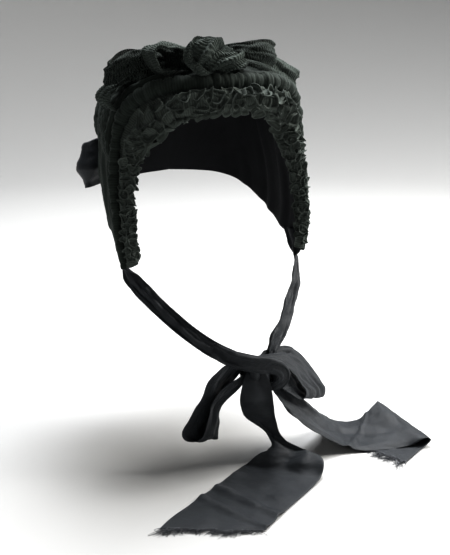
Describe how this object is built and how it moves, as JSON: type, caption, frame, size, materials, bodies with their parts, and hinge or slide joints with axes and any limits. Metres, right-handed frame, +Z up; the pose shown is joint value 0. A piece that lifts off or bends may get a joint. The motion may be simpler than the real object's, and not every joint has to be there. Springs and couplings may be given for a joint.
{
  "type": "bonnet",
  "caption": "Black mourning bonnet in worn form: crape-covered cap with gathered front roll, pinched ruche, crape and silk bows, and silk ribbon ties fastened in a bow under the chin.",
  "frame": {"origin": "inside top of the cap, where it rests on the wearer's head", "axes": "+Z up, the wearer looks towards -Y, the wearer's left side is at +X"},
  "size_m": [0.2565, 0.2926, 0.3344],
  "materials": {
    "crape": "dull crimped silk crape, greenish black",
    "silk": "soft bluish black silk ribbon with a low sheen"
  },
  "bodies": {
    "root": {"front_roll": "crape", "crown_shell": "crape", "face_ruche": "crape", "crown_puffs": "crape", "bow_knot": "crape", "bow_loop_left_inner": "crape", "bow_loop_left_outer": "crape", "bow_loop_left_low": "crape", "bow_loop_right": "crape", "bow_band_end": "crape", "back_knot": "silk", "back_loop_right": "silk", "back_loop_left": "silk", "chin_knot": "silk", "tie_right": "silk", "tie_left": "silk", "chin_loop_right": "silk", "chin_loop_left": "silk", "tail_right": "silk", "tail_left": "silk"}
  },
  "joints": []
}
